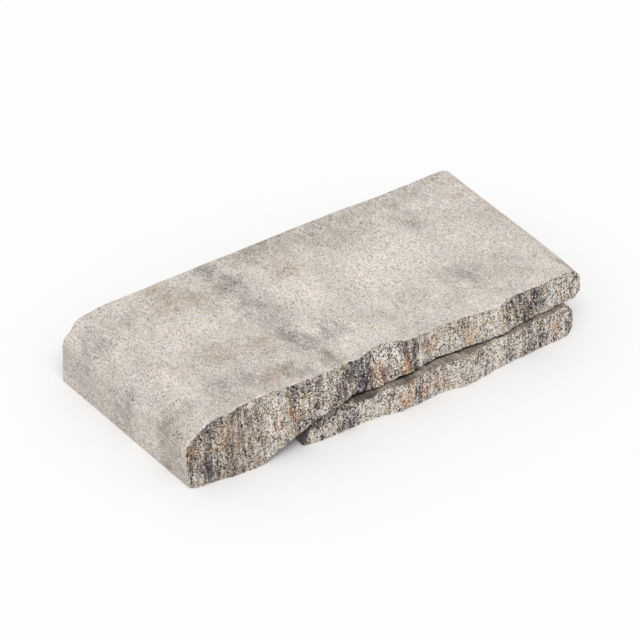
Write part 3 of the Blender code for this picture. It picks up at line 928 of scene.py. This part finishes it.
def moulded_look(nodes, place, behind):
    """Colour and height of the moulded faces: pale skin with clouds, and grit drawn out along Y."""
    wide, mottle = nodes.clouds(place, *SKIN_CLOUDS), nodes.clouds(place, *SKIN_MOTTLE)
    colour = nodes.ramp(nodes.weighted(SKIN_TONE_WEIGHTS, mottle, wide), SKIN_COLOURS)
    moved = drifted(nodes, place, *SKIN_DRIFT)
    ragged = nodes.spread(mottle, *CLOUD_RAGGED_STEP)
    clouded = 0.0
    for shares, cloud_colour in (
        (PALE_CLOUD_SHARES, CREAM), (BROWN_CLOUD_SHARES, BROWN_GREY), (DARK_CLOUD_SHARES, SMOKE),
    ):
        strength = nodes.maths("MULTIPLY", patches(nodes, moved, shares, ACROSS), ragged)
        colour = nodes.mix(strength, colour, full(cloud_colour))
        clouded = nodes.maths("MULTIPLY_ADD", clouded, CLOUD_OVERLAP_SHARE, strength)
    # Painted highlight along the top's arris, which also stands for wear: patchy, and fainter
    # further along the block
    worn = nodes.spread(nodes.clouds(place, *WEAR_AND_SHEEN_CLOUDS), *WEAR_AND_SHEEN_STEP)
    along = nodes.spread(nodes.part(place, "X"), *WORN_AND_LIT_ARRIS_STEP)
    worn = nodes.maths("MULTIPLY", worn, along)
    arris = nodes.maths("MULTIPLY", nodes.spread(behind, *ARRIS_HIGHLIGHT_AND_WEAR_STEP), worn)
    colour = nodes.mix(arris, colour, full(CHALK))

    random, _, hue = nodes.cells(place, SKIN_GRAIN_SIZES)
    random = band(nodes, random, SKIN_GRAIN_SHARES)
    hue_shift = nodes.clouds(place, *SKIN_HUES)
    warmth = nodes.weighted(SKIN_WARMTH_WEIGHTS, hue_shift, hue, random)
    tint = nodes.ramp(warmth, SKIN_TINTS)
    colour = nodes.mix(SKIN_TINT_SHARE, colour, tint, "MULTIPLY")
    streaks = nodes.clouds(place, *SKIN_STREAKS)
    grain = nodes.weighted(SKIN_GRAIN_WEIGHTS, streaks, random)
    swing = nodes.weighted(SKIN_SWING_WEIGHTS, clouded)
    shade = nodes.maths("SUBTRACT", grain, SKIN_GRAIN_MIDDLE)
    colour = nodes.scaled(colour, nodes.maths("MULTIPLY_ADD", shade, swing, 1.0))

    rare, far, _ = nodes.cells(place, SKIN_SPECK_SIZES)
    dark = nodes.maths("SUBTRACT", rare, nodes.weighted(DARK_SPECK_WEIGHTS, clouded))
    dark = nodes.weighted((dark, DARK_SPECK_MOTTLE_WEIGHT), mottle)
    dark = nodes.spread(dark, *DARK_SPECK_STEP)
    dark = nodes.maths("MULTIPLY", dark, nodes.spread(far, *DARK_SPECK_EDGE))
    colour = nodes.mix(dark, colour, full(SPECK_GREY))
    pale = nodes.spread(rare, *PALE_SPECK_STEP)
    pale = nodes.maths("MULTIPLY", pale, nodes.spread(far, *PALE_SPECK_EDGE))
    colour = nodes.mix(pale, colour, full(CHALK))
    return colour, nodes.weighted(SKIN_HEIGHT_WEIGHTS, grain, dark)


def band(nodes, share, shares):
    """A value that follows a list of (place, value) shares, smoothly."""
    return nodes.ramp(share, [(place, (value, value, value)) for place, value in shares], "EASE")


def lower_share(nodes, x, z):
    """1 on the lower stone's broken face, 0 on the upper one's."""
    left = nodes.maths("SUBTRACT", LENGTH, nodes.maths("MAXIMUM", x, JOINT_START))
    dip = nodes.maths("POWER", nodes.maths("DIVIDE", left, LENGTH - JOINT_START), JOINT_EASE)
    middle = nodes.weighted((LOWER_THICKNESS + JOINT_GAP / 2, -JOINT_DIP), dip)
    beyond = nodes.maths("GREATER_THAN", x, LOWER_START)
    return nodes.maths("MULTIPLY", nodes.maths("LESS_THAN", z, middle), beyond)


def split_look(nodes, place):
    """Colour and height of the broken face: grit of many colours in upright bands."""
    x = nodes.part(place, "X")
    is_lower = lower_share(nodes, x, nodes.part(place, "Z"))
    sway = nodes.maths("SUBTRACT", nodes.clouds(place, *BAND_SWAY), 0.5)
    x_share = nodes.weighted((nodes.maths("DIVIDE", x, LENGTH), BAND_SWAY_SHARE), sway)
    upper = band(nodes, x_share, UPPER_BAND_SHARES)
    lower = band(nodes, x_share, LOWER_BAND_SHARES)
    moved = drifted(nodes, place, *GRIT_DRIFT)
    sooty = patches(nodes, moved, SOOT_CLOUD_SHARES, UP)
    chalky = patches(nodes, moved, CHALK_CLOUD_SHARES, UP)
    rusty = patches(nodes, moved, RUST_CLOUD_SHARES, UP)
    # Painted shade on the lower stone's broken face under the upper stone's overhang
    overhang_shade = patches(nodes, moved, OVERHANG_SHADE_SHARES, UP)
    overhang_shade = nodes.maths("MULTIPLY", overhang_shade, is_lower)
    darkness = (nodes.mix(is_lower, upper, lower), *CLOUD_DARKNESS_WEIGHTS)
    darkness = nodes.weighted(darkness, sooty, chalky, overhang_shade)

    coarse, coarse_distance, _ = nodes.cells(place, GRIT_PEBBLE_SIZES)
    fine, fine_distance, fine_hue = nodes.cells(place, GRIT_GRAIN_SIZES)
    fine = band(nodes, fine, GRAIN_SHARES)
    patterns = [fine, coarse]
    for pattern in (GRIT_STREAKS, GRIT_FLUTES, GRIT_BLOTCHES):
        patterns.append(nodes.clouds(place, *pattern))
    patterns = [nodes.maths("SUBTRACT", pattern, 0.5) for pattern in patterns]
    swing = nodes.weighted((0.0, *GRIT_SWING_WEIGHTS), *patterns)
    liveliness = (band(nodes, x_share, GRIT_SWING_SHARES), LOWER_SWING_SHARE)
    liveliness = nodes.weighted(liveliness, is_lower)
    tone = nodes.weighted(GRIT_TONE_WEIGHTS, darkness)
    tone = nodes.maths("MULTIPLY_ADD", swing, liveliness, tone)
    colour = nodes.ramp(tone, GRIT_COLOURS)

    hue_shift = (nodes.clouds(place, *GRIT_HUES), RUST_HUE_SHARE)
    hue_shift = nodes.weighted(hue_shift, nodes.maths("SUBTRACT", rusty, sooty))
    tint = nodes.ramp(nodes.weighted(GRIT_WARMTH_WEIGHTS, hue_shift, fine_hue), GRIT_TINTS)
    colour = nodes.mix(nodes.spread(tone, *GRIT_TINT_STEP), colour, tint, "MULTIPLY")
    spots = (nodes.clouds(place, *RUST_SPOTS), *RUST_SPOT_WEIGHTS)
    spots = nodes.spread(nodes.weighted(spots, rusty, fine_hue), *RUST_SPOT_STEP)
    rust = nodes.maths("MULTIPLY", spots, nodes.weighted(RUST_WEIGHTS, rusty))
    colour = nodes.mix(rust, colour, nodes.mix(RUST_SHARE, colour, full(RUST)))
    # Painted shade: the holes are painted near black
    hole = nodes.spread(coarse, *HOLE_STEP)
    hole = nodes.maths("MULTIPLY", hole, nodes.spread(coarse_distance, *HOLE_EDGE))
    colour = nodes.mix(hole, colour, full(PIT_SHADE))
    height = nodes.weighted(GRIT_HEIGHT_WEIGHTS, fine, coarse_distance, fine_distance, hole)
    return colour, height


def joint_look(nodes, place, covered, split):
    """Colour and height in the false joint: fine lines along Y, rough and in painted shade near the
    foot, painted shade over the rest of the ledge, and a painted shadow with dirt in its mouth.
    """
    lines, clouds = nodes.clouds(place, *JOINT_LINES), nodes.clouds(place, *JOINT_CLOUDS)
    specks = nodes.maths("SUBTRACT", nodes.cells(place, JOINT_SPECK_SIZES)[0], 0.5)
    tone = nodes.weighted(JOINT_TONE_WEIGHTS, clouds, lines, specks)
    x_share = nodes.maths("DIVIDE", nodes.part(place, "X"), LENGTH)
    x_share = nodes.maths("ADD", nodes.weighted(LEDGE_SWAY_WEIGHTS, clouds), x_share)
    # Painted shade: the ledge's smooth rest and rough start keep only a share of their colour
    smooth = band(nodes, x_share, SMOOTH_LEDGE_SHARES)
    smooth = nodes.scaled(nodes.ramp(tone, JOINT_COLOURS), smooth)
    rough = nodes.scaled(split, band(nodes, x_share, LEDGE_GLOOM_SHARES))
    colour = nodes.mix(nodes.spread(x_share, *ROUGH_LEDGE_STEP), smooth, rough)
    # Painted shadow with dirt in the joint's mouth, under the upper stone's edge
    torn = nodes.maths("SUBTRACT", nodes.clouds(place, *TORN_SHADE_AND_DIRT), 0.5)
    width = band(nodes, x_share, MOUTH_SHADE_AND_DIRT_SHARES)
    shade_and_dirt = nodes.weighted((covered, *MOUTH_SHADE_AND_DIRT_WEIGHTS), torn, width)
    colour = nodes.mix(nodes.spread(shade_and_dirt, *MOUTH_SHADE_AND_DIRT_STEP), colour, full(JOINT_SHADE_AND_DIRT))
    return colour, lines


def concrete():
    nodes = Nodes("weathered_concrete")
    place = own_place(nodes)
    behind = attribute(nodes, "behind")
    moulded, moulded_height = moulded_look(nodes, place, behind)
    split, split_height = split_look(nodes, place)
    joint, lines = joint_look(nodes, place, attribute(nodes, "covered"), split)
    broken = nodes.weighted(RAGGED_WEIGHTS, nodes.clouds(place, *RAGGED_EDGE))
    broken = nodes.maths("MAXIMUM", broken, LEAST_RAGGED)
    is_split = nodes.spread(nodes.maths("SUBTRACT", behind, broken), *SPLIT_EDGE_STEP)
    is_joint = attribute(nodes, "joint")
    colour = nodes.mix(is_split, nodes.mix(is_joint, moulded, joint), split)
    height = nodes.mix(is_split, nodes.mix(is_joint, moulded_height, lines), split_height)
    depth = nodes.weighted((MOULDED_BUMP, SPLIT_BUMP - MOULDED_BUMP), is_split)
    normal = nodes.node("Bump", {"Height": height, "Distance": depth})
    inputs = nodes.shader.inputs
    nodes.feed(inputs["Base Color"], colour)
    nodes.feed(inputs["Normal"], normal)
    nodes.feed(inputs["Roughness"], nodes.weighted(ROUGHNESS_WEIGHTS, is_split))
    inputs["Specular IOR Level"].default_value = SPECULAR_LEVEL
    return nodes.material


# Camera, light and floor

def make_camera():
    azimuth, elevation = math.radians(CAMERA_AZIMUTH), math.radians(CAMERA_ELEVATION)
    level = math.cos(elevation)
    back = Vector((math.sin(azimuth) * level, -math.cos(azimuth) * level, math.sin(elevation)))
    turn = (-back).to_track_quat("-Z", "Y")
    made = bpy.data.objects.new("camera", bpy.data.cameras.new("camera"))
    made.data.lens = CAMERA_LENS
    made.rotation_mode = "QUATERNION"
    made.rotation_quaternion = turn
    made.location = Vector(CAMERA_AIM) + turn @ Vector((*CAMERA_PAN, CAMERA_DISTANCE))
    bpy.context.scene.collection.objects.link(made)
    bpy.context.scene.camera = made


def make_sun():
    light = bpy.data.lights.new("soft_key", "SUN")
    light.energy = KEY_STRENGTH
    light.angle = math.radians(KEY_SOFTNESS)
    made = bpy.data.objects.new("soft_key", light)
    made.rotation_mode = "QUATERNION"
    made.rotation_quaternion = Vector(KEY_DIRECTION).to_track_quat("Z", "Y")
    bpy.context.scene.collection.objects.link(made)


def make_world():
    """Even light from all round, and white where the camera looks past the floor."""
    world = bpy.data.worlds.new("studio")
    bpy.context.scene.world = world
    world.use_nodes = True
    nodes = world.node_tree.nodes
    path = nodes.new("ShaderNodeLightPath")
    seen = nodes.new("ShaderNodeMapRange")
    world.node_tree.links.new(path.outputs["Is Camera Ray"], seen.inputs["Value"])
    seen.inputs["To Min"].default_value = WORLD_STRENGTH
    seen.inputs["To Max"].default_value = 1.0
    nodes["Background"].inputs["Color"].default_value = full(WHITE)
    world.node_tree.links.new(seen.outputs["Result"], nodes["Background"].inputs["Strength"])


def make_floor():
    mesh = bpy.data.meshes.new("floor")
    corners = [
        (x * FLOOR_REACH, y * FLOOR_REACH, LOW.z - FLOOR_DROP)
        for x, y in ((-1, -1), (1, -1), (1, 1), (-1, 1))
    ]
    mesh.from_pydata(corners, [], [(0, 1, 2, 3)])
    floor = bpy.data.objects.new("floor", mesh)
    bpy.context.scene.collection.objects.link(floor)
    nodes = Nodes("floor_paint")
    seen = nodes.node("LightPath", {}, output="Is Camera Ray")
    nodes.feed(nodes.shader.inputs["Base Color"], nodes.mix(seen, full(FLOOR_BOUNCE), full(WHITE)))
    nodes.shader.inputs["Roughness"].default_value = 1.0
    nodes.shader.inputs["Specular IOR Level"].default_value = 0.0
    mesh.materials.append(nodes.material)


def make_block():
    mesh = block_mesh(Solid(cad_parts["wall_block"]))
    mesh.materials.append(concrete())
    block = bpy.data.objects.new("wall_block_stone", mesh)
    bpy.context.scene.collection.objects.link(block)
    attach(block, "root")
    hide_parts("wall_block")


make_block()
make_floor()
make_world()
make_sun()
make_camera()
bpy.context.scene.view_settings.view_transform = "Standard"
